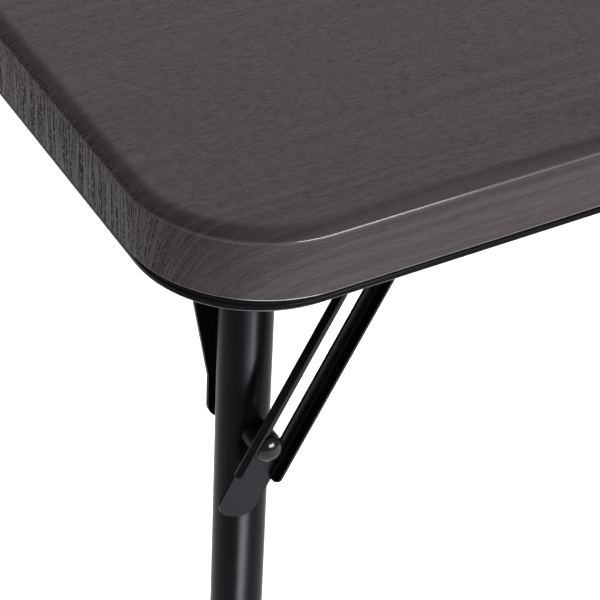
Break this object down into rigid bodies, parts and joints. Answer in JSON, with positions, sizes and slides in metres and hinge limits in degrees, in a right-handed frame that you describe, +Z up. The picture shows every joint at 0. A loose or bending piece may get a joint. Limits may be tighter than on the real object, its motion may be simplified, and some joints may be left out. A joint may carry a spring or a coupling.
{
  "type": "folding table",
  "caption": "Rectangular folding table: chamfered wood-grain top on a black base, round tubular legs that fold flat, each locked open by a slotted stay.",
  "frame": {"origin": "centre of the footprint, on the floor", "axes": "+X along the table's length, +Y across its width, +Z up"},
  "size_m": [1.5, 0.75, 0.73],
  "materials": {
    "wood_grain": "dark grey-brown, fine embossed grain",
    "core_board": "raw board",
    "black_base": "black, glossy hem",
    "black_steel": "satin black powder coat",
    "rivet_steel": "glossy black",
    "zinc_screw": "dark zinc",
    "nylon": "black nylon",
    "black_rubber": "matte"
  },
  "bodies": {
    "table_top": {"top_shell": "wood_grain", "top_core": "core_board", "base_panel": "black_base", "base_screws": "zinc_screw", "hinge_bracket_front_left": "black_steel", "hinge_rivet_front_left": "rivet_steel", "hinge_washers_front_left": "nylon", "stay_bracket_front_left": "black_steel", "stay_rivet_front_left": "rivet_steel", "bracket_screws_front_left": "zinc_screw", "hinge_bracket_front_right": "black_steel", "hinge_rivet_front_right": "rivet_steel", "hinge_washers_front_right": "nylon", "stay_bracket_front_right": "black_steel", "stay_rivet_front_right": "rivet_steel", "bracket_screws_front_right": "zinc_screw", "hinge_bracket_back_left": "black_steel", "hinge_rivet_back_left": "rivet_steel", "hinge_washers_back_left": "nylon", "stay_bracket_back_left": "black_steel", "stay_rivet_back_left": "rivet_steel", "bracket_screws_back_left": "zinc_screw", "hinge_bracket_back_right": "black_steel", "hinge_rivet_back_right": "rivet_steel", "hinge_washers_back_right": "nylon", "stay_bracket_back_right": "black_steel", "stay_rivet_back_right": "rivet_steel", "bracket_screws_back_right": "zinc_screw"},
    "leg_front_left": {"leg_tube_front_left": "black_steel", "foot_cap_front_left": "black_rubber", "lock_pin_front_left": "rivet_steel", "lock_spacer_front_left": "black_steel"},
    "stay_front_left": {"stay_front_left": "black_steel"},
    "slide_head_front_left": {"slide_head_front_left": "rivet_steel"},
    "leg_front_right": {"leg_tube_front_right": "black_steel", "foot_cap_front_right": "black_rubber", "lock_pin_front_right": "rivet_steel", "lock_spacer_front_right": "black_steel"},
    "stay_front_right": {"stay_front_right": "black_steel"},
    "slide_head_front_right": {"slide_head_front_right": "rivet_steel"},
    "leg_back_left": {"leg_tube_back_left": "black_steel", "foot_cap_back_left": "black_rubber", "lock_pin_back_left": "rivet_steel", "lock_spacer_back_left": "black_steel"},
    "stay_back_left": {"stay_back_left": "black_steel"},
    "slide_head_back_left": {"slide_head_back_left": "rivet_steel"},
    "leg_back_right": {"leg_tube_back_right": "black_steel", "foot_cap_back_right": "black_rubber", "lock_pin_back_right": "rivet_steel", "lock_spacer_back_right": "black_steel"},
    "stay_back_right": {"stay_back_right": "black_steel"},
    "slide_head_back_right": {"slide_head_back_right": "rivet_steel"}
  },
  "joints": [
    {"name": "leg_fold_front_left", "type": "hinge", "parent": "table_top", "child": "leg_front_left", "pos_m": [-0.6964, -0.3214, 0.6718], "axis": [0, -1, 0], "range_deg": [0, 90]},
    {"name": "stay_turn_front_left", "type": "hinge", "parent": "table_top", "child": "stay_front_left", "pos_m": [-0.64979, -0.3214, 0.67513], "axis": [0, -1, 0], "range_deg": [0, 113.06]},
    {"name": "pin_slide_front_left", "type": "slide", "parent": "stay_front_left", "child": "slide_head_front_left", "axis": [0.4726, 0, 0.8813], "range_m": [0, 0.0615]},
    {"name": "leg_fold_front_right", "type": "hinge", "parent": "table_top", "child": "leg_front_right", "pos_m": [0.6964, -0.3214, 0.6718], "axis": [0, 1, 0], "range_deg": [0, 90]},
    {"name": "stay_turn_front_right", "type": "hinge", "parent": "table_top", "child": "stay_front_right", "pos_m": [0.64979, -0.3214, 0.67513], "axis": [0, 1, 0], "range_deg": [0, 113.06]},
    {"name": "pin_slide_front_right", "type": "slide", "parent": "stay_front_right", "child": "slide_head_front_right", "axis": [-0.4726, 0, 0.8813], "range_m": [0, 0.0615]},
    {"name": "leg_fold_back_left", "type": "hinge", "parent": "table_top", "child": "leg_back_left", "pos_m": [-0.6964, 0.3214, 0.6718], "axis": [0, -1, 0], "range_deg": [0, 90]},
    {"name": "stay_turn_back_left", "type": "hinge", "parent": "table_top", "child": "stay_back_left", "pos_m": [-0.64979, 0.3214, 0.67513], "axis": [0, -1, 0], "range_deg": [0, 113.06]},
    {"name": "pin_slide_back_left", "type": "slide", "parent": "stay_back_left", "child": "slide_head_back_left", "axis": [0.4726, 0, 0.8813], "range_m": [0, 0.0615]},
    {"name": "leg_fold_back_right", "type": "hinge", "parent": "table_top", "child": "leg_back_right", "pos_m": [0.6964, 0.3214, 0.6718], "axis": [0, 1, 0], "range_deg": [0, 90]},
    {"name": "stay_turn_back_right", "type": "hinge", "parent": "table_top", "child": "stay_back_right", "pos_m": [0.64979, 0.3214, 0.67513], "axis": [0, 1, 0], "range_deg": [0, 113.06]},
    {"name": "pin_slide_back_right", "type": "slide", "parent": "stay_back_right", "child": "slide_head_back_right", "axis": [-0.4726, 0, 0.8813], "range_m": [0, 0.0615]}
  ],
  "couplings": [
    {"joint": "stay_turn_front_left", "follows": "leg_fold_front_left", "ratio": 1.2562},
    {"joint": "pin_slide_front_left", "follows": "leg_fold_front_left", "m_per_rad": 0.039151},
    {"joint": "stay_turn_front_right", "follows": "leg_fold_front_right", "ratio": 1.2562},
    {"joint": "pin_slide_front_right", "follows": "leg_fold_front_right", "m_per_rad": 0.039151},
    {"joint": "stay_turn_back_left", "follows": "leg_fold_back_left", "ratio": 1.2562},
    {"joint": "pin_slide_back_left", "follows": "leg_fold_back_left", "m_per_rad": 0.039151},
    {"joint": "stay_turn_back_right", "follows": "leg_fold_back_right", "ratio": 1.2562},
    {"joint": "pin_slide_back_right", "follows": "leg_fold_back_right", "m_per_rad": 0.039151}
  ]
}
